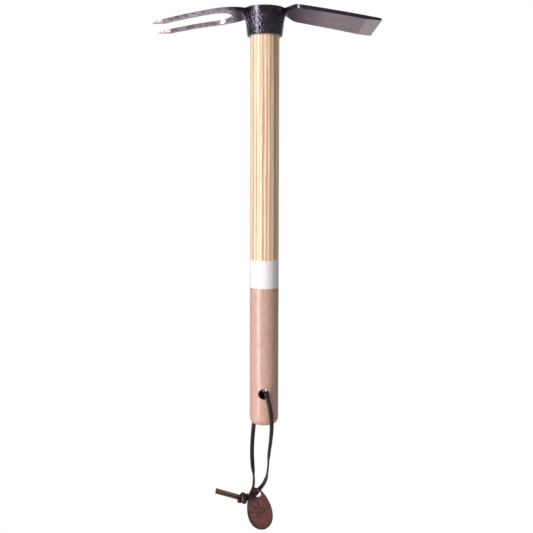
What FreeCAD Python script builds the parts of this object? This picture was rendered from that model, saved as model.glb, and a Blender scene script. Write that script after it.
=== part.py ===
"""Short two-sided hand hoe: forged head (round eye, broad blade, two-tine fork) on an ash handle, with a
leather lace and an egg-shaped leather tag at the butt.

Frame, in mm: the origin is on the handle's axis in the plane of the eye's lower rim, +Z points up the
handle to its top end, +X to the blade, -X to the fork and -Y to the front. The tool hangs in a rack by
that rim.
"""

import math
import os

import FreeCAD
import Part

# --- eye --------------------------------------------------------------------------------------
EYE_HEIGHT = 25.0
EYE_BOTTOM_RADIUS = 16.6
EYE_TOP_RADIUS = 19.6
EYE_RIM_ROUND = 1.2
EYE_BORE_BOTTOM_RADIUS = 13.75
EYE_BORE_TOP_RADIUS = 14.9
EYE_MOUTH_BREAK = 0.45

# --- blade ------------------------------------------------------------------------------------
BLADE_REACH = 104.5
BLADE_EDGE_WIDTH = 72.2
BLADE_ROOT_WIDTH = 61.0
BLADE_NECK_WIDTH = 14.0
BLADE_SHOULDER_X = 28.0
BLADE_SHOULDER_ROUND = 9.0
BLADE_THICKNESS = 3.9
BLADE_END_THICKNESS = 3.4
BLADE_BEVEL_LENGTH = 13.5
BLADE_EDGE_RISE = 1.3
BLADE_NOSE_LENGTH = 3.0
BLADE_ROOT_Z = 21.2
BLADE_DROP = 15.0
BLADE_SAG = 0.55

# --- fork -------------------------------------------------------------------------------------
FORK_REACH = 103.3
FORK_WIDTH = 58.4
FORK_END_WIDTH = 49.6
FORK_TIP_SPACING = 46.0
FORK_NECK_WIDTH = 27.6
FORK_SHOULDER_X = 24.0
FORK_SHOULDER_WIDTH = 46.0
FORK_BODY_X = 37.0
FORK_CROTCH_X = 30.0
FORK_CROTCH_DEPTH = 12.5
FORK_THICKNESS = 3.7
FORK_END_THICKNESS = 3.1
FORK_EDGE_RISE = 2.2
FORK_NOSE_LENGTH = 2.0
FORK_ROOT_Z = 19.1
FORK_DROP = 14.5
FORK_SAG = 1.57
TINE_ROOT_WIDTH = 7.2
TINE_END_WIDTH = 6.2
TINE_POINT_LENGTH = 12.0
TINE_POINT_WIDTH = 2.0

EDGE_THICKNESS = 0.5
ROOT_BLEND = 3.0
FORGED_ROUND = 0.4
EYE_CENTRE_SPAN = 6.0  # how near the axis a plate starts, inside the eye, before the bore is cut

# --- handle -----------------------------------------------------------------------------------
HANDLE_LENGTH = 400.0
HANDLE_BUTT_RADIUS = 14.2
HANDLE_BUTT_ROUND = 6.0
HANDLE_END_SET_BACK = 0.5
LACE_HOLE_RADIUS = 5.0
LACE_HOLE_FROM_BUTT = 33.0
LACE_HOLE_BREAK = 0.8

# --- wedges -----------------------------------------------------------------------------------
WEDGE_DEPTH = 19.0
WEDGE_TOP_THICKNESS = 3.6
WEDGE_TIP_THICKNESS = 1.0
STEEL_WEDGE_WIDTH = 14.0
STEEL_WEDGE_DEPTH = 12.0
STEEL_WEDGE_TOP_THICKNESS = 2.4
STEEL_WEDGE_TIP_THICKNESS = 0.5

# --- lace, as a round cord of the flat lace's cross-section area ------------------------------
LACE_DIAMETER = 3.0
KNOT_CENTRE = (-21.0, -4.6, -110.1)
KNOT_LENGTH = 10.4
KNOT_RADIUS = 5.2
KNOT_WAIST_RADIUS = 4.3
KNOT_TILT = 12.0
TAIL_DIAMETER = 3.8

# Heights here are from the middle of the cross hole, so that the lace and the tag hang where the hole is.
# The loop goes from the knot up the back, through the hole and down the front to the tag and the knot.
BESIDE_GRIP = HANDLE_BUTT_RADIUS + 3.2
LACE_ROUTE = [
    (-17.4, -4.2, -108.3),
    (-12.6, -3.6, -104.9),
    (-10.3, -0.8, -98.9),
    (-9.7, 3.2, -91.1),
    (-11.4, 8.0, -80.5),
    (-12.6, 12.6, -66.5),
    (-11.7, 16.0, -51.5),
    (-10.0, BESIDE_GRIP, -36.0),
    (-7.6, BESIDE_GRIP + 0.2, -20.3),
    (-4.4, BESIDE_GRIP + 0.1, -8.1),
    (-1.9, BESIDE_GRIP, -0.3),
    (-1.0, 6.0, -1.1),
    (1.4, -6.0, -0.5),
    (1.9, -BESIDE_GRIP, 0.7),
    (4.6, -BESIDE_GRIP - 0.3, -7.1),
    (6.9, -BESIDE_GRIP, -18.3),
    (7.9, -BESIDE_GRIP + 0.3, -31.7),
    (6.9, -15.2, -45.9),
    (5.2, -11.0, -59.9),
    (4.5, -6.4, -73.7),
    (3.6, -0.6, -86.1),
    (1.6, 4.4, -95.7),
    (-1.6, 7.4, -102.9),
    (-6.1, 7.6, -108.8),
    (-6.3, -1.9, -109.2),
    (-11.2, -3.8, -111.2),
    (-16.5, -4.8, -112.1),
]
TAIL_ROUTE = [
    (-25.6, -4.6, -108.9),
    (-33.2, -4.9, -106.8),
    (-40.8, -4.6, -104.6),
    (-48.6, -4.2, -102.7),
]

# --- tag --------------------------------------------------------------------------------------
TAG_LENGTH = 45.0
TAG_WIDTH = 24.8
TAG_TAPER = 0.23
TAG_THICKNESS = 2.2
TAG_TILT = 12.0
TAG_HOLE_RADIUS = 3.5
TAG_HOLE_FROM_TOP = 7.0
TAG_HOLE_OFF_AXIS = 1.8
TAG_HOLE_CENTRE = (-6.2, 2.6, -109.0)


def vec(x, y, z):
    return FreeCAD.Vector(x, y, z)


X_AXIS = vec(1, 0, 0)
Y_AXIS = vec(0, 1, 0)
Z_AXIS = vec(0, 0, 1)


def face_of(edges):
    """A flat face from edges given in order round its outline."""
    return Part.Face(Part.Wire(edges))


def line(a, b):
    return Part.LineSegment(a, b).toShape()


def arc(a, middle, b):
    return Part.Arc(a, middle, b).toShape()


def corner_arc(before, corner, after, radius):
    """(start, middle, end) of the tangent arc that rounds a corner."""
    back = (before - corner).normalize()
    ahead = (after - corner).normalize()
    half = back.getAngle(ahead) / 2
    reach = radius / math.tan(half)
    inward = (back + ahead).normalize()
    centre = corner + inward * (radius / math.sin(half))
    return corner + back * reach, centre - inward * radius, corner + ahead * reach


# --- head -------------------------------------------------------------------------------------
def eye_body():
    """The eye's outer cone, turned, with a rounded lower edge and a small break at the top."""
    low = vec(EYE_BOTTOM_RADIUS, 0, 0)
    high = vec(EYE_TOP_RADIUS, 0, EYE_HEIGHT)
    start, middle, end = corner_arc(vec(0, 0, 0), low, high, EYE_RIM_ROUND)
    top_start, top_middle, top_end = corner_arc(low, high, vec(0, 0, EYE_HEIGHT), EYE_RIM_ROUND / 2)
    edges = [
        line(vec(0, 0, 0), start),
        arc(start, middle, end),
        line(end, top_start),
        arc(top_start, top_middle, top_end),
        line(top_end, vec(0, 0, EYE_HEIGHT)),
        line(vec(0, 0, EYE_HEIGHT), vec(0, 0, 0)),
    ]
    return face_of(edges).revolve(vec(0, 0, 0), Z_AXIS, 360)


def bore_radius(z):
    """The tapered bore's radius at a height in the eye."""
    return EYE_BORE_BOTTOM_RADIUS + (EYE_BORE_TOP_RADIUS - EYE_BORE_BOTTOM_RADIUS) * z / EYE_HEIGHT


def bore_cutter():
    """The tapered bore with the break at its lower mouth."""
    margin = 5.0
    taper = Part.makeCone(bore_radius(0), bore_radius(EYE_HEIGHT + margin), EYE_HEIGHT + margin)
    mouth = Part.makeCone(
        EYE_BORE_BOTTOM_RADIUS + EYE_MOUTH_BREAK, bore_radius(EYE_MOUTH_BREAK), EYE_MOUTH_BREAK
    )
    return taper.fuse(mouth)


def prism_y(edges):
    """A side profile in the XZ plane, made solid across the whole width."""
    half = max(BLADE_EDGE_WIDTH, FORK_WIDTH)
    face = face_of(edges)
    face.translate(vec(0, -half, 0))
    return face.extrude(vec(0, 2 * half, 0))


def prism_z(edges):
    """A plan outline in the XY plane, made solid over the head's whole height."""
    face = face_of(edges)
    face.translate(vec(0, 0, -EYE_HEIGHT))
    return face.extrude(vec(0, 0, 3 * EYE_HEIGHT))


class Plate:
    """A curved, tapering plate that runs out from the eye along +X, and the grinding of its end."""

    def __init__(self, reach, root_z, drop, sag, thickness, end_thickness, edge_rise, edge_thickness):
        self.reach = reach
        self.root_z = root_z
        self.drop = drop
        self.sag = sag
        self.thickness = thickness
        self.end_thickness = end_thickness
        self.edge_low = self.under(reach) + edge_rise
        self.edge_high = self.edge_low + edge_thickness

    def share(self, x):
        return (x - EYE_BOTTOM_RADIUS) / (self.reach - EYE_BOTTOM_RADIUS)

    def under(self, x):
        """The underside's height at a distance from the axis."""
        u = self.share(x)
        return self.root_z - self.drop * u + 4 * self.sag * u * (1 - u)

    def top(self, x):
        return self.under(x) + self.thickness + (self.end_thickness - self.thickness) * self.share(x)

    def full(self, outline, inner_x):
        """The plate before grinding: its plan outline within its side profile, with rounded long edges."""
        middle = (inner_x + self.reach) / 2
        low = [vec(x, 0, self.under(x)) for x in (inner_x, middle, self.reach)]
        high = [vec(x, 0, self.top(x)) for x in (self.reach, middle, inner_x)]
        side = [arc(*low), line(low[2], high[0]), arc(*high), line(high[2], low[0])]
        body = prism_z(outline).common(prism_y(side))
        long_edges = []
        for edge in body.Edges:
            first, last = edge.Vertexes[0].Point, edge.Vertexes[-1].Point
            along = last - first
            upright = along.cross(Z_AXIS).Length < 0.01
            at_end = abs(along.x) < 0.01 and min(abs(first.x - x) for x in (inner_x, self.reach)) < 0.01
            if not upright and not at_end:
                long_edges.append(edge)
        return body.makeFillet(FORGED_ROUND, long_edges)

    def bevel_cutter(self, length):
        """What grinding takes off the underside."""
        start = self.reach - length
        low = vec(start, 0, self.under(start))
        edge = vec(self.reach, 0, self.edge_low)
        past = (edge - low).normalize() * 5.0
        floor = -EYE_HEIGHT
        outer = edge + past
        inner = low - past * 0.2
        points = [inner, outer, vec(outer.x, 0, floor), vec(inner.x, 0, floor)]
        return prism_y([line(p, q) for p, q in zip(points, points[1:] + points[:1])])

    def nose_cutter(self, length):
        """What grinding takes off the top of the end, as a round."""
        start = vec(self.reach - length, 0, self.top(self.reach - length))
        edge = vec(self.reach, 0, self.edge_high)
        bulge = (start + edge) * 0.5 + vec(0.2 * length, 0, 0.25 * (start.z - edge.z))
        roof = 3 * EYE_HEIGHT
        far = self.reach + 5.0
        return prism_y(
            [
                arc(start, bulge, edge),
                line(edge, vec(far, 0, edge.z)),
                line(vec(far, 0, edge.z), vec(far, 0, roof)),
                line(vec(far, 0, roof), vec(start.x, 0, roof)),
                line(vec(start.x, 0, roof), start),
            ]
        )


def root_blend(plate, width):
    """The blend under a plate where it meets the eye, as wide as the neck."""
    wall_x = EYE_BOTTOM_RADIUS + (EYE_TOP_RADIUS - EYE_BOTTOM_RADIUS) * plate.root_z / EYE_HEIGHT
    inner = EYE_CENTRE_SPAN
    far_x = wall_x + ROOT_BLEND
    seat = plate.under(far_x)
    bend = ROOT_BLEND * (1 - math.sqrt(0.5))
    low = vec(wall_x - 0.4, -width / 2, seat - ROOT_BLEND)
    middle = vec(wall_x + bend, -width / 2, seat - bend)
    far = vec(far_x, -width / 2, seat)
    inset = vec(0, 0, plate.thickness / 2)
    back_top = vec(inner, -width / 2, far.z + inset.z)
    back_low = vec(inner, -width / 2, low.z)
    edges = [
        line(back_low, low),
        arc(low, middle, far),
        line(far, far + inset),
        line(far + inset, back_top),
        line(back_top, back_low),
    ]
    return face_of(edges).extrude(vec(0, width, 0))


def wall_x_at(width):
    """How far from the axis the eye's outer wall is, at its top, where a neck of this width meets it."""
    return math.sqrt(EYE_TOP_RADIUS**2 - (width / 2) ** 2)


def neck_start(neck_width, shoulder):
    """The shoulder line carried on inside the eye: the neck has its stated width at the wall."""
    wall = vec(wall_x_at(neck_width), neck_width / 2, 0)
    slope = (shoulder.y - wall.y) / (shoulder.x - wall.x)
    inner_x = max(EYE_CENTRE_SPAN, wall.x - (wall.y - 4 * FORGED_ROUND) / slope)
    return vec(inner_x, wall.y - slope * (wall.x - inner_x), 0)


def closed_outline(half, middle_edges):
    """One half of a plan outline, its mirror image and the edges that cross the XZ plane."""
    mirror = [edge.mirror(vec(0, 0, 0), Y_AXIS) for edge in half]
    return Part.__sortEdges__(half + mirror + middle_edges)


def flipped(point):
    return vec(point.x, -point.y, point.z)


def blade():
    """Broad blade: sloping shoulders, sides that flare to the edge, ground bevel on the underside."""
    plate = Plate(
        BLADE_REACH,
        BLADE_ROOT_Z,
        BLADE_DROP,
        BLADE_SAG,
        BLADE_THICKNESS,
        BLADE_END_THICKNESS,
        BLADE_EDGE_RISE,
        EDGE_THICKNESS,
    )
    shoulder = vec(BLADE_SHOULDER_X, BLADE_ROOT_WIDTH / 2, 0)
    corner = vec(BLADE_REACH, BLADE_EDGE_WIDTH / 2, 0)
    start = neck_start(BLADE_NECK_WIDTH, shoulder)
    a, b, c = corner_arc(start, shoulder, corner, BLADE_SHOULDER_ROUND)
    half = [line(start, a), arc(a, b, c), line(c, corner)]
    outline = closed_outline(half, [line(corner, flipped(corner)), line(flipped(start), start)])
    body = plate.full(outline, start.x)
    body = body.cut([plate.bevel_cutter(BLADE_BEVEL_LENGTH), plate.nose_cutter(BLADE_NOSE_LENGTH)])
    return body.fuse(root_blend(plate, BLADE_NECK_WIDTH))


def smooth(points, start_tangent, end_tangent):
    """One smooth curve through points, with its direction given at both ends."""
    curve = Part.BSplineCurve()
    curve.interpolate(points, InitialTangent=start_tangent, FinalTangent=end_tangent)
    return curve.toShape()


def spread(first, last, count):
    return [first + (last - first) * i / (count - 1) for i in range(count)]


def tine_outer(x):
    """Half the fork's width at a distance from the axis: the tines curve in towards their points."""
    v = (x - FORK_BODY_X) / (FORK_REACH - FORK_BODY_X)
    return FORK_WIDTH / 2 - (FORK_WIDTH - FORK_END_WIDTH) / 2 * v * v


def tine_inner(x):
    v = (x - FORK_BODY_X) / (FORK_REACH - FORK_BODY_X)
    return tine_outer(x) - TINE_ROOT_WIDTH + (TINE_ROOT_WIDTH - TINE_END_WIDTH) * v


def outer_edge(start, shoulder):
    """One side of the fork, from the end of its straight shoulder to the end of the tine."""
    points = [shoulder]
    points += [vec(x, tine_outer(x), 0) for x in spread(FORK_BODY_X, FORK_REACH, 4)]
    return smooth(points, shoulder - start, points[-1] - points[-2])


def gap_edge():
    """The whole gap between the tines: out along one, round the oval crotch and back along the other."""
    gap_x = FORK_CROTCH_X + FORK_CROTCH_DEPTH
    points = [vec(x, tine_inner(x), 0) for x in spread(FORK_REACH, gap_x, 4)]
    for turn in (math.radians(30), math.radians(60)):
        across = tine_inner(gap_x) * math.cos(turn)
        points.append(vec(gap_x - FORK_CROTCH_DEPTH * math.sin(turn), across, 0))
    points += [vec(FORK_CROTCH_X, 0, 0)] + [flipped(p) for p in reversed(points)]
    return smooth(points, points[1] - points[0], points[-1] - points[-2])


def point_cutters():
    """What grinding takes off both sides of one tine to make its point, in plan."""
    start_x = FORK_REACH - TINE_POINT_LENGTH
    tip_y = FORK_TIP_SPACING / 2
    far = FORK_REACH + 5.0
    cutters = []
    for wall, out in ((tine_outer(start_x), 1), (tine_inner(start_x), -1)):
        tip = tip_y + out * TINE_POINT_WIDTH / 2
        away = tip_y + out * FORK_END_WIDTH / 4
        points = [
            vec(start_x, wall, 0),
            vec(FORK_REACH, tip, 0),
            vec(far, tip, 0),
            vec(far, away, 0),
            vec(start_x, away, 0),
        ]
        cutters.append(prism_z([line(p, q) for p, q in zip(points, points[1:] + points[:1])]))
    return cutters


def fork():
    """Two-tine fork, built towards +X."""
    plate = Plate(
        FORK_REACH,
        FORK_ROOT_Z,
        FORK_DROP,
        FORK_SAG,
        FORK_THICKNESS,
        FORK_END_THICKNESS,
        FORK_EDGE_RISE,
        EDGE_THICKNESS,
    )
    shoulder = vec(FORK_SHOULDER_X, FORK_SHOULDER_WIDTH / 2, 0)
    start = neck_start(FORK_NECK_WIDTH, shoulder)
    half = [
        line(start, shoulder),
        outer_edge(start, shoulder),
        line(vec(FORK_REACH, tine_outer(FORK_REACH), 0), vec(FORK_REACH, tine_inner(FORK_REACH), 0)),
    ]
    body = plate.full(closed_outline(half, [gap_edge(), line(flipped(start), start)]), start.x)
    cutters = point_cutters()
    cutters += [cutter.mirror(vec(0, 0, 0), Y_AXIS) for cutter in cutters]
    cutters += [plate.bevel_cutter(TINE_POINT_LENGTH), plate.nose_cutter(FORK_NOSE_LENGTH)]
    return body.cut(cutters).fuse(root_blend(plate, FORK_NECK_WIDTH))


def head():
    """The whole forging, bored for the handle."""
    back = fork()
    back.rotate(vec(0, 0, 0), Z_AXIS, 180)
    forging = eye_body().fuse([blade(), back])
    return forging.cut(bore_cutter()).removeSplitter()


# --- handle and wedges ------------------------------------------------------------------------
def handle_top():
    return EYE_HEIGHT - HANDLE_END_SET_BACK


def butt_z():
    return handle_top() - HANDLE_LENGTH


def hole_z():
    return butt_z() + LACE_HOLE_FROM_BUTT


def handle_blank():
    """The turned handle: a tapered seat in the eye, a nearly straight grip and a rounded butt."""
    top, butt = handle_top(), butt_z()
    seat_top = vec(bore_radius(top), 0, top)
    seat_end = vec(bore_radius(0), 0, 0)
    corner = vec(HANDLE_BUTT_RADIUS, 0, butt)
    start, middle, end = corner_arc(seat_end, corner, vec(0, 0, butt), HANDLE_BUTT_ROUND)
    edges = [
        line(vec(0, 0, top), seat_top),
        line(seat_top, seat_end),
        line(seat_end, start),
        arc(start, middle, end),
        line(end, vec(0, 0, butt)),
        line(vec(0, 0, butt), vec(0, 0, top)),
    ]
    return face_of(edges).revolve(vec(0, 0, 0), Z_AXIS, 360)


def lace_hole():
    """The cross hole's cutter, a cylinder along Y through the butt end."""
    length = 4 * HANDLE_BUTT_RADIUS
    return Part.makeCylinder(LACE_HOLE_RADIUS, length, vec(0, -length / 2, hole_z()), Y_AXIS)


def hole_mouth_edges(body):
    """The two edges where the cross hole leaves the grip."""
    found = []
    for edge in body.Edges:
        box = edge.BoundBox
        at_top = abs(box.ZMax - hole_z() - LACE_HOLE_RADIUS) < 0.2
        at_bottom = abs(box.ZMin - hole_z() + LACE_HOLE_RADIUS) < 0.2
        if at_top and at_bottom and box.XLength > LACE_HOLE_RADIUS:
            found.append(edge)
    return found


def taper_block(width, depth, top_thickness, tip_thickness):
    """A wedge blank below the handle's top: its thickness along X, its width along Y."""
    top = handle_top()
    outline = [
        vec(-top_thickness / 2, -width / 2, top),
        vec(top_thickness / 2, -width / 2, top),
        vec(tip_thickness / 2, -width / 2, top - depth),
        vec(-tip_thickness / 2, -width / 2, top - depth),
    ]
    face = Part.Face(Part.makePolygon(outline + outline[:1]))
    return face.extrude(vec(0, width, 0))


def wood_wedge_blank():
    """The wooden wedge fills a kerf that lies along the head."""
    block = taper_block(4 * EYE_BORE_TOP_RADIUS, WEDGE_DEPTH, WEDGE_TOP_THICKNESS, WEDGE_TIP_THICKNESS)
    block.rotate(vec(0, 0, 0), Z_AXIS, 90)
    return block


def steel_wedge():
    """The steel wedge crosses the wooden one."""
    return taper_block(
        STEEL_WEDGE_WIDTH, STEEL_WEDGE_DEPTH, STEEL_WEDGE_TOP_THICKNESS, STEEL_WEDGE_TIP_THICKNESS
    )


def handle():
    bored = handle_blank().cut(lace_hole())
    eased = bored.makeFillet(LACE_HOLE_BREAK, hole_mouth_edges(bored))
    return eased.cut(wood_wedge_blank()).cut(steel_wedge())


def wood_wedge():
    return wood_wedge_blank().common(handle_blank()).cut(steel_wedge())


# --- lace -------------------------------------------------------------------------------------
def hung(point):
    """A point given from the middle of the cross hole, in the part's frame."""
    x, y, z = point
    return vec(x, y, hole_z() + z)


def bend_radius(before, point, after):
    """The largest tangent arc that the two runs at a point leave room for."""
    runs = min((before - point).Length, (after - point).Length)
    half_turn = (math.pi - (before - point).getAngle(after - point)) / 2
    return 0.45 * runs / math.tan(half_turn)


def cord(name, route, diameter):
    """A round cord along straight runs joined by tangent arcs."""
    points = [hung(point) for point in route]
    edges = []
    radii = []
    last = points[0]
    for before, point, after in zip(points, points[1:], points[2:]):
        radius = bend_radius(before, point, after)
        radii.append(radius)
        start, middle, end = corner_arc(before, point, after, radius)
        edges += [line(last, start), arc(start, middle, end)]
        last = end
    edges.append(line(last, points[-1]))
    path = Part.Wire(edges)
    ring = Part.Wire(Part.makeCircle(diameter / 2, points[0], points[1] - points[0]))
    tube = Part.Wire(path.Edges).makePipeShell([ring], True, True)
    print(name, "radii", [round(r, 1) for r in radii])
    print(name, "length", round(path.Length, 1), "volume / section x length",
          round(tube.Volume / (path.Length * math.pi * diameter**2 / 4), 4))
    return tube


def lace_knot():
    """The overhand knot's outer shape: two lobes with a waist, turned about the lie of the tails."""
    half = KNOT_LENGTH / 2
    quarter = half / 2
    end_radius = KNOT_WAIST_RADIUS / 2
    edges = [
        line(vec(-half, 0, 0), vec(-half, 0, end_radius)),
        arc(vec(-half, 0, end_radius), vec(-quarter, 0, KNOT_RADIUS), vec(0, 0, KNOT_WAIST_RADIUS)),
        arc(vec(0, 0, KNOT_WAIST_RADIUS), vec(quarter, 0, KNOT_RADIUS), vec(half, 0, end_radius)),
        line(vec(half, 0, end_radius), vec(half, 0, 0)),
        line(vec(half, 0, 0), vec(-half, 0, 0)),
    ]
    knot = face_of(edges).revolve(vec(0, 0, 0), X_AXIS, 360)
    knot.rotate(vec(0, 0, 0), Y_AXIS, KNOT_TILT)
    knot.translate(hung(KNOT_CENTRE))
    return knot


def lace_loop():
    return cord("lace_loop", LACE_ROUTE, LACE_DIAMETER).cut(lace_knot())


def lace_tails():
    return cord("lace_tails", TAIL_ROUTE, TAIL_DIAMETER).cut(lace_knot())


# --- tag --------------------------------------------------------------------------------------
def tag():
    """Egg-shaped leather tag, narrow end up, punched near that end and hanging a little out of plumb."""
    points = []
    steps = 16
    for i in range(steps):
        turn = 2 * math.pi * i / steps
        across = TAG_WIDTH / 2 * math.sin(turn) * (1 - TAG_TAPER * math.cos(turn))
        points.append(vec(across, 0, TAG_LENGTH / 2 * math.cos(turn)))
    outline = Part.BSplineCurve()
    outline.interpolate(points, PeriodicFlag=True)
    blank = Part.Face(Part.Wire(outline.toShape())).extrude(vec(0, TAG_THICKNESS, 0))
    blank.translate(vec(-TAG_HOLE_OFF_AXIS, -TAG_THICKNESS / 2, TAG_HOLE_FROM_TOP - TAG_LENGTH / 2))
    hole = Part.makeCylinder(TAG_HOLE_RADIUS, 2 * TAG_THICKNESS, vec(0, -TAG_THICKNESS, 0), Y_AXIS)
    piece = blank.cut(hole)
    piece.rotate(vec(0, 0, 0), Y_AXIS, -TAG_TILT)
    piece.translate(hung(TAG_HOLE_CENTRE))
    return piece


PIECES = {
    "head": head,
    "handle": handle,
    "wood_wedge": wood_wedge,
    "steel_wedge": steel_wedge,
    "lace_loop": lace_loop,
    "lace_knot": lace_knot,
    "lace_tails": lace_tails,
    "tag": tag,
}

os.makedirs("parts", exist_ok=True)
for node, make in PIECES.items():
    shape = make()
    print(node, "valid", shape.isValid(), "solids", len(shape.Solids), "volume", round(shape.Volume, 1))
    shape.exportStep("parts/" + node + ".step")
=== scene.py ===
"""Looks of the short two-sided hand hoe: lacquered forged head, ash handle with a painted grip,
leather lace and tag."""
import math

import bmesh
import bpy
from mathutils import Matrix, Vector


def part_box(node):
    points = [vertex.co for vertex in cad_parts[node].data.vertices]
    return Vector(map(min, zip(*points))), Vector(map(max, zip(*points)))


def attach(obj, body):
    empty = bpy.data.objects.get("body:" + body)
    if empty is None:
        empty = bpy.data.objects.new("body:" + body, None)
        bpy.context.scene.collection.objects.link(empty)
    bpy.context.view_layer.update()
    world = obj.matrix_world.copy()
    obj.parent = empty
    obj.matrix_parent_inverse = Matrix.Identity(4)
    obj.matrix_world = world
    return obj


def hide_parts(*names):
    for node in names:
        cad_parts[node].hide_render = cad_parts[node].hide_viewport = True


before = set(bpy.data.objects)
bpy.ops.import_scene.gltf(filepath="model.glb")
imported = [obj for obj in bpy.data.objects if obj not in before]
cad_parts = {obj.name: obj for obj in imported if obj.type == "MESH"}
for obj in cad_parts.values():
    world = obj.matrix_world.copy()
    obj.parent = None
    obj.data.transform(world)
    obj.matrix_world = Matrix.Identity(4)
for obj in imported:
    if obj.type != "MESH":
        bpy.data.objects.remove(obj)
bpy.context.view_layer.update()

# --- camera ------------------------------------------------------------------------------------
CAMERA_PLACE = (0.00214, -0.720, -0.1323)
CAMERA_PITCH_DOWN = 6.80
CAMERA_ROLL = 0.16
CAMERA_LENS_MM = 50.15
SENSOR_MM = 36.0
CAMERA_CLIP_START = 0.01

camera_data = bpy.data.cameras.new("camera")
camera_data.lens = CAMERA_LENS_MM
camera_data.sensor_width = SENSOR_MM
camera_data.clip_start = CAMERA_CLIP_START
camera = bpy.data.objects.new("camera", camera_data)
camera.location = CAMERA_PLACE
camera.rotation_mode = "QUATERNION"
camera.rotation_quaternion = (
    Matrix.Rotation(math.radians(90 - CAMERA_PITCH_DOWN), 3, "X")
    @ Matrix.Rotation(math.radians(CAMERA_ROLL), 3, "Z")
).to_quaternion()
bpy.context.scene.collection.objects.link(camera)
bpy.context.scene.camera = camera
bpy.context.scene.view_settings.view_transform = "Standard"

# --- sizes of the made pieces, in metres -------------------------------------------------------
LACE_WIDTH = 0.0043
LACE_THICKNESS = 0.0016
LACE_EDGE_ROUNDING = 0.42  # the rounding's share of the thickness
RING_STEP = 0.0007
HOLE_AXIS_Z = -0.3425
HOLE_RADIUS = 0.005
BAND_TOP_Z = -0.2111
BAND_BOTTOM_Z = -0.2384

# --- lace --------------------------------------------------------------------------------------
# Each strand starts in the middle of the cross hole. A row is x, y, z in metres and the
# direction in degrees, from +X, that the flat of the lace faces across.
REAR_STRAND = [
    (0.0004, 0.0000, -0.3440, 0), (-0.0004, 0.0066, -0.3462, 0), (-0.0010, 0.0132, -0.3460, 0),
    (-0.0018, 0.0164, -0.3474, 0), (-0.0040, 0.0166, -0.3530, 0), (-0.0074, 0.0166, -0.3638, 5),
    (-0.0100, 0.0166, -0.3785, 10), (-0.0115, 0.0158, -0.3940, 12), (-0.0124, 0.0126, -0.4090, 12),
    (-0.0116, 0.0080, -0.4230, 25), (-0.0101, 0.0040, -0.4330, 80), (-0.0100, 0.0006, -0.4405, 70),
    (-0.0120, -0.0024, -0.4468, 50), (-0.0162, -0.0040, -0.4506, 75), (-0.0210, -0.0046, -0.4516, 80),
    (-0.0262, -0.0042, -0.4502, 85), (-0.0332, -0.0044, -0.4482, 85), (-0.0408, -0.0042, -0.4460, 88),
    (-0.0484, -0.0038, -0.4440, 88),
]
FRONT_STRAND = [
    (0.0004, 0.0000, -0.3440, 0), (0.0010, -0.0062, -0.3432, 0), (0.0018, -0.0130, -0.3406, 0),
    (0.0027, -0.0164, -0.3424, 5), (0.0048, -0.0165, -0.3496, 5), (0.0070, -0.0165, -0.3608, 20),
    (0.0079, -0.0168, -0.3742, 32), (0.0069, -0.0152, -0.3884, 40), (0.0052, -0.0110, -0.4024, 50),
    (0.0045, -0.0064, -0.4162, 82), (0.0036, -0.0006, -0.4286, 75), (0.0016, 0.0044, -0.4382, 30),
    (-0.0014, 0.0070, -0.4444, 12), (-0.0056, 0.0066, -0.4492, 8), (-0.0078, 0.0012, -0.4508, 8),
    (-0.0112, -0.0026, -0.4522, 30), (-0.0160, -0.0046, -0.4538, 70), (-0.0210, -0.0052, -0.4538, 80),
    (-0.0262, -0.0060, -0.4522, 85), (-0.0332, -0.0062, -0.4502, 85), (-0.0408, -0.0060, -0.4481, 88),
    (-0.0486, -0.0056, -0.4461, 88),
]


def smooth_line(points):
    """The points of a smooth NURBS line through the run of control points."""
    curve = bpy.data.curves.new("line", "CURVE")
    curve.dimensions = "3D"
    curve.resolution_u = 24
    spline = curve.splines.new("NURBS")
    spline.points.add(len(points) - 1)
    for knot, point in zip(spline.points, points):
        knot.co = (*point, 1)
    spline.order_u = 3
    spline.use_endpoint_u = True
    holder = bpy.data.objects.new("line", curve)
    mesh = bpy.data.meshes.new_from_object(holder)
    line = [vertex.co.copy() for vertex in mesh.vertices]
    bpy.data.objects.remove(holder)
    bpy.data.curves.remove(curve)
    bpy.data.meshes.remove(mesh)
    return line


def distances(points):
    """How far along the run of points each one is."""
    along = [0.0]
    for before, after in zip(points, points[1:]):
        along.append(along[-1] + (after - before).length)
    return along


def evenly(line, step):
    """The line's points again, a step apart, each one's share of the way along, and the length."""
    along = distances(line)
    count = max(2, round(along[-1] / step))
    points = []
    i = 0
    for k in range(count + 1):
        target = along[-1] * k / count
        while i < len(line) - 2 and along[i + 1] < target:
            i += 1
        share = (target - along[i]) / max(along[i + 1] - along[i], 1e-12)
        points.append(line[i].lerp(line[i + 1], min(share, 1.0)))
    return points, [k / count for k in range(count + 1)], along[-1]


def facing(rows, share):
    """The flat's direction at a share of the way along the control points, in radians."""
    along = distances([Vector(row[:3]) for row in rows])
    target = share * along[-1]
    for i in range(len(rows) - 1):
        if target <= along[i + 1]:
            part = (target - along[i]) / (along[i + 1] - along[i])
            part = part * part * (3 - 2 * part)
            return math.radians(rows[i][3] + part * (rows[i + 1][3] - rows[i][3]))
    return math.radians(rows[-1][3])


def made(name, shape, finish, smooth=True):
    """A finished piece from a bmesh, its place in its mesh."""
    bmesh.ops.recalc_face_normals(shape, faces=shape.faces)
    mesh = bpy.data.meshes.new(name)
    shape.to_mesh(mesh)
    shape.free()
    for face in mesh.polygons:
        face.use_smooth = smooth
    mesh.materials.append(finish)
    piece = bpy.data.objects.new(name, mesh)
    bpy.context.scene.collection.objects.link(piece)
    return piece


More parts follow.
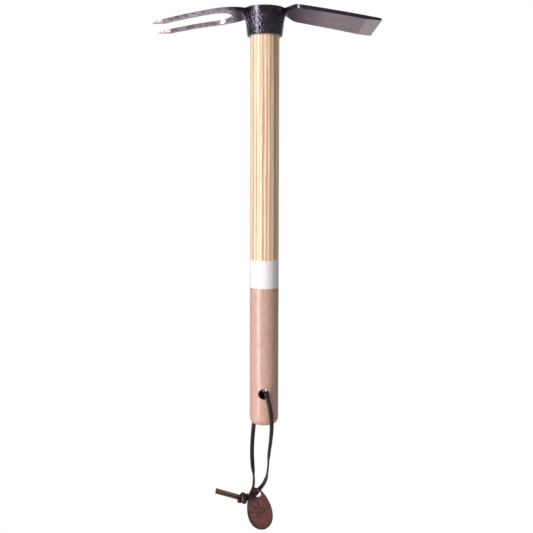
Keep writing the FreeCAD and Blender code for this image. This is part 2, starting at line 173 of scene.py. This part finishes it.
def swept(name, shape, line, crosswise, finish, end_size=1.0):
    """A piece from a bmesh of one flat face, extruded from ring to ring along the line. The face's x
    lies along crosswise at each ring, and the first and last three rings are end_size times as big."""
    last = shape.faces[:][0]
    ring = [vertex.co.copy() for vertex in last.verts]
    for i, (point, across) in enumerate(zip(line, crosswise)):
        ahead = (line[min(i + 1, len(line) - 1)] - line[max(i - 1, 0)]).normalized()
        across = (across - across.dot(ahead) * ahead).normalized()
        through = ahead.cross(across)
        if i:
            last = bmesh.ops.extrude_discrete_faces(shape, faces=[last])["faces"][0]
        size = 1.0 if 2 < i < len(line) - 3 else end_size
        for vertex, place in zip(last.verts, ring):
            vertex.co = point + size * (place.x * across + place.y * through)
    if len(shape.verts) != len(line) * len(ring):
        raise ValueError(f"{name}: the rings do not add up")
    start = [edge for edge in shape.edges if edge.is_boundary]
    bmesh.ops.contextual_create(shape, geom=start)
    return made(name, shape, finish)


def flat_lace(name, line, turns, finish):
    """A flat lace: an oblong with rounded corners, swept along the line."""
    shape = bmesh.new()
    corners = bmesh.ops.create_grid(shape, x_segments=1, y_segments=1, size=0.5)["verts"]
    bmesh.ops.scale(shape, vec=(LACE_WIDTH, LACE_THICKNESS, 1), verts=corners)
    bmesh.ops.bevel(
        shape, geom=shape.verts[:], offset=LACE_EDGE_ROUNDING * LACE_THICKNESS, affect="VERTICES",
        segments=3, profile=0.5, material=-1,
    )
    crosswise = [Vector((math.cos(turn), math.sin(turn), 0)) for turn in turns]
    return swept(name, shape, line, crosswise, finish)


# --- materials ---------------------------------------------------------------------------------
def linear(colour):
    """An sRGB hex colour as linear red, green, blue and alpha."""
    parts = [int(colour[i:i + 2], 16) / 255 for i in (1, 3, 5)]
    return (*(v / 12.92 if v <= 0.04045 else ((v + 0.055) / 1.055) ** 2.4 for v in parts), 1.0)


def add(tree, kind, inputs=None, stops=None, **settings):
    """One node: its settings, a ramp's stops, and each input's value or the socket that feeds it."""
    made_node = tree.nodes.new(kind)
    for name, value in settings.items():
        setattr(made_node, name, value)
    if stops:
        elements = made_node.color_ramp.elements
        while len(elements) < len(stops):
            elements.new(0.5)
        for element, (place, colour) in zip(elements, stops):
            element.position = place
            element.color = linear(colour)
    for name, value in (inputs or {}).items():
        if isinstance(value, bpy.types.NodeSocket):
            tree.links.new(value, made_node.inputs[name])
        else:
            made_node.inputs[name].default_value = value
    return made_node


def material(name):
    """An empty material, its node tree, its shader and its object coordinates."""
    new = bpy.data.materials.new(name)
    new.use_nodes = True
    tree = new.node_tree
    shader = tree.nodes["Principled BSDF"]
    place = add(tree, "ShaderNodeTexCoord").outputs["Object"]
    return new, tree, shader, place


def per_mm(size):
    """A pattern's scale for features of that size in millimetres, on coordinates in metres."""
    return 1000 / size


WAVE_RADIANS = 20  # a wave texture's bands turn through this many radians for each unit at scale 1

# Where the head's finish changes, each from nothing to full, in metres from the handle's axis.
# The blade points along +X and the fork along -X.
PLATES = (0.019, 0.024)
# where the painted reflection of light from below fades in on surfaces facing down
UNDERSIDE_REFLECTION_SPAN = (0.022, 0.056)
BLADE_BEVEL = (0.0905, 0.0918)
RUBBED_TINES = (-0.025, -0.036)
GROUND_POINTS = (-0.0865, -0.0915)
DULL_ROOT_START = (0.0185, 0.0225)
DULL_ROOT_END = (0.066, 0.028)
# Heights between which the pits fade toward the eye's turned rim.
TURNED_RIM = (0.0215, 0.0160)
# Upward parts of a surface's direction between which it counts as underneath.
UNDERNEATH = (-0.45, -0.85)


def forged_lacquer():
    """Black stoving lacquer over a drop-forged head: gloss over the hammer scale's pits on the eye, a
    lighter mauve-grey on the undersides of the blade and tines that is a painted reflection of light from
    below, bare ground steel at the bevel and the tine points."""
    new, tree, shader, place = material("lacquered_forged_steel")
    axes = add(tree, "ShaderNodeSeparateXYZ", {"Vector": place})
    x, y, z = axes.outputs
    cloud = add(
        tree, "ShaderNodeTexNoise",
        {"Vector": place, "Scale": per_mm(9), "Detail": 4.0, "Roughness": 0.6},
    )

    # thick lacquer on the eye and the roots; out along the blade and the tines the surfaces facing down
    #     # turn a lighter mauve-grey, which is a painted reflection of light from below
    away = add(tree, "ShaderNodeMath", {0: x}, operation="ABSOLUTE")
    plates = add(
        tree, "ShaderNodeMapRange",
        {"Value": away.outputs[0], "From Min": PLATES[0], "From Max": PLATES[1]},
    )
    normal = add(tree, "ShaderNodeNewGeometry").outputs["Normal"]
    facing_down = add(tree, "ShaderNodeSeparateXYZ", {"Vector": normal})
    under = add(
        tree, "ShaderNodeMapRange",
        {"Value": facing_down.outputs["Z"], "From Min": UNDERNEATH[0], "From Max": UNDERNEATH[1]},
    )
    outward = add(
        tree, "ShaderNodeMapRange",
        {"Value": away.outputs[0], "From Min": UNDERSIDE_REFLECTION_SPAN[0], "From Max": UNDERSIDE_REFLECTION_SPAN[1]},
    )
    underside_reflection = add(
        tree, "ShaderNodeMath",
        {0: outward.outputs[0], 1: under.outputs[0]}, operation="MULTIPLY",
    )
    thick = add(
        tree, "ShaderNodeValToRGB", {"Fac": cloud.outputs[0]},
        stops=[(0.35, "#3f3a45"), (0.70, "#5d5664")],
    )
    # painted reflection: the lighter mauve-grey of the undersides, as if lit from below
    lit_underside_ramp = add(
        tree, "ShaderNodeValToRGB", {"Fac": cloud.outputs[0]},
        stops=[(0.30, "#7d5f6d"), (0.55, "#947383"), (0.75, "#a78696")],
    )
    # the lacquer's dark colour, with the painted reflection mixed in on the undersides
    lacquer = add(
        tree, "ShaderNodeMix",
        {0: underside_reflection.outputs[0], 6: thick.outputs[0], 7: lit_underside_ramp.outputs[0]},
        data_type="RGBA",
    )

    # tines rubbed pale by soil
    tines = add(
        tree, "ShaderNodeMapRange",
        {"Value": x, "From Min": RUBBED_TINES[0], "From Max": RUBBED_TINES[1]},
    )
    scuffs = add(
        tree, "ShaderNodeTexNoise",
        {"Vector": place, "Scale": per_mm(3.2), "Detail": 5.0, "Roughness": 0.7},
    )
    rubbed = add(
        tree, "ShaderNodeValToRGB", {"Fac": scuffs.outputs[0]},
        stops=[(0.38, "#8a7686"), (0.47, "#cdb9c8"), (0.58, "#f0dfea")],
    )
    # the painted reflection on the undersides together with the pale tines
    reflection_and_wear = add(
        tree, "ShaderNodeMix",
        {0: tines.outputs[0], 6: lacquer.outputs[2], 7: rubbed.outputs[0]},
        data_type="RGBA",
    )

    # ground zones: the last 13 mm of the blade's underside and the tine points; the marks are
    # drawn 0.6 mm apart, coarser than real ones, so that they show
    blade_end = add(
        tree, "ShaderNodeMapRange",
        {"Value": x, "From Min": BLADE_BEVEL[0], "From Max": BLADE_BEVEL[1]},
    )
    points = add(
        tree, "ShaderNodeMapRange",
        {"Value": x, "From Min": GROUND_POINTS[0], "From Max": GROUND_POINTS[1]},
    )
    bevel = add(
        tree, "ShaderNodeMath",
        {0: blade_end.outputs[0], 1: under.outputs[0]}, operation="MULTIPLY",
    )
    ground = add(tree, "ShaderNodeMath", {0: bevel.outputs[0], 1: points.outputs[0]}, operation="MAXIMUM")
    streak_place = add(tree, "ShaderNodeMapping", {"Vector": place, "Scale": (0.06, 1, 1)})
    streaks = add(
        tree, "ShaderNodeTexNoise",
        {"Vector": streak_place.outputs[0], "Scale": per_mm(0.6), "Detail": 3.0, "Roughness": 0.5},
    )
    bright = add(
        tree, "ShaderNodeValToRGB", {"Fac": streaks.outputs[0]},
        stops=[(0.30, "#ab929c"), (0.70, "#ceb9c2")],
    )
    colour = add(
        tree, "ShaderNodeMix",
        {0: ground.outputs[0], 6: reflection_and_wear.outputs[2], 7: bright.outputs[0]},
        data_type="RGBA",
    )
    tree.links.new(colour.outputs[2], shader.inputs["Base Color"])

    metal = add(
        tree, "ShaderNodeMapRange",
        {"Value": underside_reflection.outputs[0], "To Min": 0.85, "To Max": 0.45},
    )
    tree.links.new(metal.outputs[0], shader.inputs["Metallic"])
    # the roots keep the dull scale, which the lacquer there doesn't fill
    dull_start = add(
        tree, "ShaderNodeMapRange",
        {"Value": away.outputs[0], "From Min": DULL_ROOT_START[0], "From Max": DULL_ROOT_START[1]},
    )
    dull_end = add(
        tree, "ShaderNodeMapRange",
        {"Value": away.outputs[0], "From Min": DULL_ROOT_END[0], "From Max": DULL_ROOT_END[1]},
    )
    root = add(
        tree, "ShaderNodeMath",
        {0: dull_start.outputs[0], 1: dull_end.outputs[0]}, operation="MULTIPLY",
    )
    dull = add(tree, "ShaderNodeMath", {0: root.outputs[0], 1: under.outputs[0]}, operation="MULTIPLY")
    sheen = add(
        tree, "ShaderNodeMapRange",
        {"Value": cloud.outputs[0], "From Min": 0.3, "From Max": 0.7, "To Min": 0.17, "To Max": 0.30},
    )
    rough = add(
        tree, "ShaderNodeMath", {0: dull.outputs[0], 1: 0.40, 2: sheen.outputs[0]}, operation="MULTIPLY_ADD"
    )
    tree.links.new(rough.outputs[0], shader.inputs["Roughness"])
    coat = add(tree, "ShaderNodeMapRange", {"Value": dull.outputs[0], "To Min": 0.30, "To Max": 0.0})
    tree.links.new(coat.outputs[0], shader.inputs["Coat Weight"])
    shader.inputs["Coat Roughness"].default_value = 0.12
    shader.inputs["Specular IOR Level"].default_value = 0.3

    # pits of about 2 mm on the eye's wall, gone near its turned rim; a fine orange peel everywhere
    pits = add(
        tree, "ShaderNodeTexVoronoi", {"Vector": place, "Scale": per_mm(1.9), "Smoothness": 0.4},
        feature="SMOOTH_F1",
    )
    low = add(
        tree, "ShaderNodeMapRange",
        {"Value": z, "From Min": TURNED_RIM[0], "From Max": TURNED_RIM[1], "To Min": 0.25},
    )
    wall = add(tree, "ShaderNodeMath", {0: 1.0, 1: plates.outputs[0]}, operation="SUBTRACT")
    pitted = add(tree, "ShaderNodeMath", {0: low.outputs[0], 1: wall.outputs[0]}, operation="MULTIPLY")
    depth = add(
        tree, "ShaderNodeMath",
        {0: pits.outputs["Distance"], 1: pitted.outputs[0]}, operation="MULTIPLY",
    )
    peel = add(tree, "ShaderNodeTexNoise", {"Vector": place, "Scale": per_mm(2.2), "Detail": 3.0})
    height = add(
        tree, "ShaderNodeMath", {0: peel.outputs[0], 1: 0.35, 2: depth.outputs[0]}, operation="MULTIPLY_ADD"
    )
    bump = add(
        tree, "ShaderNodeBump", {"Height": height.outputs[0], "Strength": 0.8, "Distance": 0.0006}
    )
    tree.links.new(bump.outputs[0], shader.inputs["Normal"])
    return new


def painted_ash():
    """Turned ash under clear lacquer, a white band, and taupe paint with an orange peel on the grip."""
    new, tree, shader, place = material("painted_ash")
    axes = add(tree, "ShaderNodeSeparateXYZ", {"Vector": place})
    z = axes.outputs["Z"]

    # growth rings 3.2 mm apart, nearly straight along the grain
    ring_place = add(
        tree, "ShaderNodeMapping",
        {"Vector": place, "Rotation": (0, 0, math.radians(24)), "Scale": (1, 0.55, 0.045)},
    )
    rings = add(
        tree, "ShaderNodeTexWave",
        {
            "Vector": ring_place.outputs[0], "Scale": 2 * math.pi * per_mm(3.2) / WAVE_RADIANS,
            "Distortion": 3.2, "Detail": 3.0, "Detail Scale": 1.4, "Detail Roughness": 0.55,
        },
        wave_profile="SIN",
    )
    # fibre streaks, about 1.3 mm wide and very long, break the rings up
    fibre_place = add(tree, "ShaderNodeMapping", {"Vector": place, "Scale": (1, 1, 0.012)})
    fibres = add(
        tree, "ShaderNodeTexNoise",
        {"Vector": fibre_place.outputs[0], "Scale": per_mm(2.0), "Detail": 4.0, "Roughness": 0.6},
    )
    figure = add(
        tree, "ShaderNodeMix", {"Factor": 0.72, 2: rings.outputs[1], 3: fibres.outputs[0]},
        data_type="FLOAT",
    )
    ash = add(
        tree, "ShaderNodeValToRGB", {"Fac": figure.outputs[0]},
        stops=[(0.32, "#f3dfc6"), (0.46, "#ecd2b2"), (0.55, "#dfb691"), (0.66, "#ca9973")],
    )
    # pores: dark dashes 0.35 mm wide and 8 mm long
    pore_place = add(tree, "ShaderNodeMapping", {"Vector": place, "Scale": (1, 1, 0.045)})
    pores = add(
        tree, "ShaderNodeTexNoise",
        {"Vector": pore_place.outputs[0], "Scale": per_mm(0.7), "Detail": 2.0, "Roughness": 0.6},
    )
    dashes = add(
        tree, "ShaderNodeMapRange",
        {"Value": pores.outputs[0], "From Min": 0.56, "From Max": 0.70, "To Min": 0.0, "To Max": 0.34},
    )
    wood = add(
        tree, "ShaderNodeMix",
        {0: dashes.outputs[0], 6: ash.outputs[0], 7: linear("#9a6e48")},
        data_type="RGBA", blend_type="MULTIPLY",
    )

    # paint zones; the brushed edges wander by 0.1 mm
    wander = add(tree, "ShaderNodeTexNoise", {"Vector": place, "Scale": per_mm(6), "Detail": 2.0})
    level = add(
        tree, "ShaderNodeMath", {0: wander.outputs[0], 1: 0.0004, 2: z}, operation="MULTIPLY_ADD"
    )
    # the wander adds 0.2 mm on the whole, and an edge is 0.24 mm soft
    shift = 0.0002
    edge = 0.00012
    white = add(
        tree, "ShaderNodeMapRange",
        {"Value": level.outputs[0], "From Min": BAND_TOP_Z + shift + edge,
         "From Max": BAND_TOP_Z + shift - edge},
    )
    taupe = add(
        tree, "ShaderNodeMapRange",
        {"Value": level.outputs[0], "From Min": BAND_BOTTOM_Z + shift + edge,
         "From Max": BAND_BOTTOM_Z + shift - edge},
    )
    banded = add(
        tree, "ShaderNodeMix",
        {0: white.outputs[0], 6: wood.outputs[2], 7: linear("#f3ebee")},
        data_type="RGBA",
    )
    mottle = add(tree, "ShaderNodeTexNoise", {"Vector": place, "Scale": per_mm(5), "Detail": 4.0})
    grip = add(
        tree, "ShaderNodeValToRGB", {"Fac": mottle.outputs[0]},
        stops=[(0.35, "#c59c8a"), (0.65, "#cfa898")],
    )
    painted = add(
        tree, "ShaderNodeMix",
        {0: taupe.outputs[0], 6: banded.outputs[2], 7: grip.outputs[0]},
        data_type="RGBA",
    )

    # the bore of the cross hole is painted near black, a painted shade for the dark inside the deep hole
    bore_place = add(
        tree, "ShaderNodeMapping",
        {"Vector": place, "Location": (0, 0, -HOLE_AXIS_Z), "Scale": (1, 0, 1)},
    )
    bore_radius = add(tree, "ShaderNodeVectorMath", {0: bore_place.outputs[0]}, operation="LENGTH")
    bore_painted_shade = add(
        tree, "ShaderNodeMapRange",
        {"Value": bore_radius.outputs["Value"], "From Min": HOLE_RADIUS + 0.0006,
         "From Max": HOLE_RADIUS + 0.0001},
    )
    # painted shade: the bore's near-black colour
    colour = add(
        tree, "ShaderNodeMix",
        {0: bore_painted_shade.outputs[0], 6: painted.outputs[2], 7: linear("#0f0b09")},
        data_type="RGBA",
    )
    tree.links.new(colour.outputs[2], shader.inputs["Base Color"])

    gloss = add(
        tree, "ShaderNodeMapRange", {"Value": white.outputs[0], "To Min": 0.46, "To Max": 0.30}
    )
    rough = add(tree, "ShaderNodeMath", {0: gloss.outputs[0], 1: bore_painted_shade.outputs[0]}, operation="MAXIMUM")
    tree.links.new(rough.outputs[0], shader.inputs["Roughness"])
    coat = add(tree, "ShaderNodeMapRange", {"Value": bore_painted_shade.outputs[0], "To Min": 0.25, "To Max": 0.0})
    tree.links.new(coat.outputs[0], shader.inputs["Coat Weight"])
    shader.inputs["Coat Roughness"].default_value = 0.20

    # paint lies 0.1 mm proud and has a 1.8 mm orange peel; the wood has fine open pores
    peel = add(tree, "ShaderNodeTexNoise", {"Vector": place, "Scale": per_mm(1.9), "Detail": 2.5})
    peel_height = add(
        tree, "ShaderNodeMath", {0: peel.outputs[0], 1: white.outputs[0]}, operation="MULTIPLY"
    )
    pore_height = add(
        tree, "ShaderNodeMath", {0: dashes.outputs[0], 1: -0.35, 2: peel_height.outputs[0]},
        operation="MULTIPLY_ADD",
    )
    height = add(
        tree, "ShaderNodeMath", {0: white.outputs[0], 1: 0.3, 2: pore_height.outputs[0]},
        operation="MULTIPLY_ADD",
    )
    bump = add(
        tree, "ShaderNodeBump", {"Height": height.outputs[0], "Strength": 0.55, "Distance": 0.0006}
    )
    tree.links.new(bump.outputs[0], shader.inputs["Normal"])
    return new


def wedge_wood():
    """A dry beech wedge, end grain up, darker than the handle round it."""
    new, tree, shader, place = material("beech_end_grain")
    grain = add(tree, "ShaderNodeTexNoise", {"Vector": place, "Scale": per_mm(0.9), "Detail": 4.0})
    colour = add(
        tree, "ShaderNodeValToRGB", {"Fac": grain.outputs[0]},
        stops=[(0.35, "#a9794c"), (0.65, "#c79a68")],
    )
    tree.links.new(colour.outputs[0], shader.inputs["Base Color"])
    shader.inputs["Roughness"].default_value = 0.6
    bump = add(tree, "ShaderNodeBump", {"Height": grain.outputs[0], "Strength": 0.4, "Distance": 0.0003})
    tree.links.new(bump.outputs[0], shader.inputs["Normal"])
    return new


def wedge_steel():
    """A mild steel wedge, its driven end bruised and dull."""
    new, tree, shader, place = material("mild_steel")
    marks = add(tree, "ShaderNodeTexNoise", {"Vector": place, "Scale": per_mm(1.1), "Detail": 5.0})
    colour = add(
        tree, "ShaderNodeValToRGB", {"Fac": marks.outputs[0]},
        stops=[(0.35, "#4d4a4c"), (0.65, "#8b888a")],
    )
    tree.links.new(colour.outputs[0], shader.inputs["Base Color"])
    shader.inputs["Metallic"].default_value = 1.0
    shader.inputs["Roughness"].default_value = 0.42
    bump = add(tree, "ShaderNodeBump", {"Height": marks.outputs[0], "Strength": 0.5, "Distance": 0.0003})
    tree.links.new(bump.outputs[0], shader.inputs["Normal"])
    return new


FLESH_SIDE = (-0.0245, -0.0285)  # the tails turn to their flesh side between these, along X


def lace_leather():
    """Dark brown waxed leather lace, cut square and rubbed lighter where it has been bent."""
    new, tree, shader, place = material("waxed_lace_leather")
    rub = add(
        tree, "ShaderNodeTexNoise",
        {"Vector": place, "Scale": per_mm(4), "Detail": 5.0, "Roughness": 0.65},
    )
    colour = add(
        tree, "ShaderNodeValToRGB", {"Fac": rub.outputs[0]},
        stops=[(0.35, "#261413"), (0.55, "#37211f"), (0.72, "#553935")],
    )
    # the two ends past the knot show the paler flesh side
    axes = add(tree, "ShaderNodeSeparateXYZ", {"Vector": place})
    flesh = add(
        tree, "ShaderNodeMapRange",
        {"Value": axes.outputs["X"], "From Min": FLESH_SIDE[0], "From Max": FLESH_SIDE[1], "To Max": 0.75},
    )
    ends = add(
        tree, "ShaderNodeMix",
        {0: flesh.outputs[0], 6: colour.outputs[0], 7: linear("#6e524f")},
        data_type="RGBA",
    )
    tree.links.new(ends.outputs[2], shader.inputs["Base Color"])
    shader.inputs["Roughness"].default_value = 0.42
    grain = add(
        tree, "ShaderNodeTexVoronoi", {"Vector": place, "Scale": per_mm(0.6)}, feature="DISTANCE_TO_EDGE"
    )
    bump = add(
        tree, "ShaderNodeBump", {"Height": grain.outputs["Distance"], "Strength": 0.35, "Distance": 0.0002}
    )
    tree.links.new(bump.outputs[0], shader.inputs["Normal"])
    return new


TAG_TILT = math.radians(12)
TAG_HALF_WIDTH = 0.0124
TAG_HALF_HEIGHT = 0.0222
# Pressed leaf sprig: each leaf's centre across and up from the tag's centre, half length and
# half width in millimetres, and its slant in degrees.
SPRIG = [
    (0.0, -2.5, 7.0, 0.55, 0), (0.0, 5.6, 3.2, 1.5, 0), (-3.6, 1.8, 3.4, 1.4, -52),
    (3.6, 1.8, 3.4, 1.4, 52), (-3.6, -3.2, 3.4, 1.4, -52), (3.6, -3.2, 3.4, 1.4, 52),
]


def tag_leather():
    """Reddish brown vegetable-tanned leather, its cut edge burnished dark, a leaf sprig pressed in."""
    new, tree, shader, place = material("burnished_tag_leather")
    low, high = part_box("tag")
    centre = (low + high) / 2
    middle = add(
        tree, "ShaderNodeMapping",
        {"Vector": place, "Location": centre, "Rotation": (0, -TAG_TILT, 0)}, vector_type="TEXTURE",
    )
    egg = add(
        tree, "ShaderNodeMapping",
        {"Vector": middle.outputs[0], "Scale": (1 / TAG_HALF_WIDTH, 0, 1 / TAG_HALF_HEIGHT)},
    )
    out = add(tree, "ShaderNodeVectorMath", {0: egg.outputs[0]}, operation="LENGTH")
    rim = add(
        tree, "ShaderNodeMapRange", {"Value": out.outputs["Value"], "From Min": 0.86, "From Max": 0.98}
    )
    cloud = add(
        tree, "ShaderNodeTexNoise",
        {"Vector": place, "Scale": per_mm(3.5), "Detail": 5.0, "Roughness": 0.65},
    )
    face = add(
        tree, "ShaderNodeValToRGB", {"Fac": cloud.outputs[0]},
        stops=[(0.36, "#4a2422"), (0.50, "#60322d"), (0.66, "#7e4743")],
    )
    pressed = None
    for across, up, half_length, half_width, slant in SPRIG:
        leaf_place = add(
            tree, "ShaderNodeMapping",
            {
                "Vector": middle.outputs[0], "Location": (across / 1000, 0, up / 1000),
                "Rotation": (0, math.radians(slant), 0),
                "Scale": (half_width / 1000, 1, half_length / 1000),
            },
            vector_type="TEXTURE",
        )
        flat = add(
            tree, "ShaderNodeVectorMath",
            {0: leaf_place.outputs[0], 1: (1, 0, 1)}, operation="MULTIPLY",
        )
        reach = add(tree, "ShaderNodeVectorMath", {0: flat.outputs[0]}, operation="LENGTH")
        leaf = add(
            tree, "ShaderNodeMapRange", {"Value": reach.outputs["Value"], "From Min": 1.1, "From Max": 0.8}
        )
        if pressed is None:
            pressed = leaf
        else:
            pressed = add(
                tree, "ShaderNodeMath",
                {0: pressed.outputs[0], 1: leaf.outputs[0]}, operation="MAXIMUM",
            )
    dark = add(tree, "ShaderNodeMath", {0: pressed.outputs[0], 1: 0.7}, operation="MULTIPLY")
    shade = add(tree, "ShaderNodeMath", {0: dark.outputs[0], 1: rim.outputs[0]}, operation="MAXIMUM")
    colour = add(
        tree, "ShaderNodeMix",
        {0: shade.outputs[0], 6: face.outputs[0], 7: linear("#3a201c")},
        data_type="RGBA",
    )
    tree.links.new(colour.outputs[2], shader.inputs["Base Color"])
    shader.inputs["Roughness"].default_value = 0.5
    grain = add(
        tree, "ShaderNodeTexVoronoi", {"Vector": place, "Scale": per_mm(0.9)}, feature="DISTANCE_TO_EDGE"
    )
    fine = add(
        tree, "ShaderNodeMath", {0: grain.outputs["Distance"], 1: 0.6}, operation="MULTIPLY"
    )
    height = add(
        tree, "ShaderNodeMath", {0: pressed.outputs[0], 1: -1.0, 2: fine.outputs[0]},
        operation="MULTIPLY_ADD",
    )
    bump = add(
        tree, "ShaderNodeBump", {"Height": height.outputs[0], "Strength": 0.5, "Distance": 0.0003}
    )
    tree.links.new(bump.outputs[0], shader.inputs["Normal"])
    return new


LACE = lace_leather()
FINISHES = {
    "head": forged_lacquer(),
    "handle": painted_ash(),
    "wood_wedge": wedge_wood(),
    "steel_wedge": wedge_steel(),
    "tag": tag_leather(),
}
for node_name, finish in FINISHES.items():
    for node_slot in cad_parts[node_name].material_slots:
        node_slot.material = finish

# --- the lace's two strands and its knot -------------------------------------------------------
KNOT_CENTRE = Vector((-0.0206, -0.0048, -0.4526))
KNOT_TILT = math.radians(12)
KNOT_TURNS = 1.6
KNOT_START = math.radians(200)
KNOT_RADIUS = 0.0040
KNOT_WAVER = 0.0004
KNOT_LENGTH = 0.0074
KNOT_STEPS = 22
KNOT_RING_STEP = 0.0005
KNOT_LACE_HALF_WIDTH = 0.0024
KNOT_LACE_HALF_THICKNESS = 0.0014
KNOT_TUCKED_SIZE = 0.75


def knot_line():
    """The overhand knot's visible turns: a tight wrap round both strands that slants over its own start."""
    points = []
    for i in range(KNOT_STEPS + 1):
        share = i / KNOT_STEPS
        angle = 2 * math.pi * KNOT_TURNS * share + KNOT_START
        radius = KNOT_RADIUS + KNOT_WAVER * math.sin(2.0 * angle)
        along = KNOT_LENGTH * (share - 0.5)
        points.append(Vector((along, radius * math.cos(angle), radius * math.sin(angle))))
    turned = Matrix.Rotation(KNOT_TILT, 4, "Y")
    return smooth_line([KNOT_CENTRE + turned @ point for point in points])


def knot_turns(finish):
    """The knot's wrap, its flat on the strands inside it and its ends tucked under."""
    line, _, _ = evenly(knot_line(), KNOT_RING_STEP)
    axis = Matrix.Rotation(KNOT_TILT, 3, "Y") @ Vector((1, 0, 0))
    shape = bmesh.new()
    rim = bmesh.ops.create_circle(shape, cap_ends=True, segments=14, radius=1)["verts"]
    bmesh.ops.scale(shape, vec=(KNOT_LACE_HALF_WIDTH, KNOT_LACE_HALF_THICKNESS, 1), verts=rim)
    return swept("lace_knot_turns", shape, line, [axis] * len(line), finish, KNOT_TUCKED_SIZE)


knot = knot_turns(LACE)
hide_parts("lace_knot")
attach(knot, "lace")

strands = {}
for strand_name, rows in (("lace_rear_strand", REAR_STRAND), ("lace_front_strand", FRONT_STRAND)):
    path, shares, length = evenly(smooth_line([row[:3] for row in rows]), RING_STEP)
    turns = [facing(rows, share) for share in shares]
    strand = flat_lace(strand_name, path, turns, LACE)
    strands[strand_name] = (strand, path, length)
    print(strand_name, "length in mm", round(1000 * length, 1))

rear, rear_path, rear_length = strands["lace_rear_strand"]
front, front_path, front_length = strands["lace_front_strand"]
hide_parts("lace_loop")
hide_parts("lace_loop", "lace_tails")
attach(rear, "lace")
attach(front, "lace")

# --- studio ------------------------------------------------------------------------------------
FLOOR_Z = -0.80
ROOM_RADIUS = 14
ROOM_HEIGHT = 40

# A floor and a round wall that give light to the camera's view only, so neither tints the tool.
floor_shape = bmesh.new()
bmesh.ops.create_circle(floor_shape, cap_ends=True, segments=96, radius=ROOM_RADIUS)
skirting = [edge for edge in floor_shape.edges if edge.is_boundary]
risen = bmesh.ops.extrude_edge_only(floor_shape, edges=skirting)["geom"]
raised = [item for item in risen if isinstance(item, bmesh.types.BMVert)]
bmesh.ops.translate(floor_shape, vec=(0, 0, ROOM_HEIGHT), verts=raised)
bmesh.ops.translate(floor_shape, vec=(0, 0, FLOOR_Z), verts=floor_shape.verts)
floor_finish, _, floor_shader, _ = material("lit_pale_floor")
floor_shader.inputs["Base Color"].default_value = linear("#000000")
floor_shader.inputs["Specular IOR Level"].default_value = 0.0
floor_shader.inputs["Emission Color"].default_value = linear("#ffffff")
floor_shader.inputs["Emission Strength"].default_value = 1.0
floor = made("floor", floor_shape, floor_finish, smooth=False)
floor.visible_diffuse = False
floor.visible_glossy = False
floor.visible_shadow = False


def softbox(name, place, aim, size, watts, shines=True):
    """A rectangular area light; one that doesn't shine lights only the matt part of a surface."""
    data = bpy.data.lights.new(name, "AREA")
    data.shape = "RECTANGLE"
    data.size, data.size_y = size
    data.energy = watts
    lamp = bpy.data.objects.new(name, data)
    lamp.location = place
    lamp.rotation_euler = (Vector(aim) - Vector(place)).to_track_quat("-Z", "Y").to_euler()
    lamp.visible_glossy = shines
    bpy.context.scene.collection.objects.link(lamp)


HANDLE_MIDDLE = (0, 0, -0.15)
HEAD_MIDDLE = (0, 0, 0)
softbox("key_softbox", (-0.95, -0.90, -0.10), HANDLE_MIDDLE, size=(0.34, 1.5), watts=19)
softbox("fill_softbox", (-0.30, -1.60, 0.30), HANDLE_MIDDLE, size=(1.6, 1.6), watts=9, shines=False)
softbox("top_softbox", (0.10, 0.30, 1.10), HEAD_MIDDLE, size=(0.9, 0.9), watts=3)

world = bpy.data.worlds.new("studio")
world.use_nodes = True
bpy.context.scene.world = world
around = world.node_tree
direction = add(around, "ShaderNodeTexCoord").outputs["Generated"]
side = add(around, "ShaderNodeSeparateXYZ", {"Vector": direction})
# a bright card behind, a softer one below, and a dim room
behind = add(
    around, "ShaderNodeMapRange",
    {"Value": side.outputs["Y"], "From Min": 0.70, "From Max": 0.92, "To Min": 0.15, "To Max": 1.0},
)
below = add(
    around, "ShaderNodeMapRange",
    {"Value": side.outputs["Z"], "From Min": -0.05, "From Max": -0.60, "To Min": 0.15, "To Max": 0.55},
)
above = add(
    around, "ShaderNodeMapRange",
    {"Value": side.outputs["Z"], "From Min": -0.12, "From Max": 0.02, "To Min": 0.35, "To Max": 1.0},
)
card = add(around, "ShaderNodeMath", {0: behind.outputs[0], 1: above.outputs[0]}, operation="MULTIPLY")
glow = add(around, "ShaderNodeMath", {0: card.outputs[0], 1: below.outputs[0]}, operation="MAXIMUM")
around.links.new(glow.outputs[0], around.nodes["Background"].inputs["Strength"])
around.nodes["Background"].inputs["Color"].default_value = linear("#ffffff")
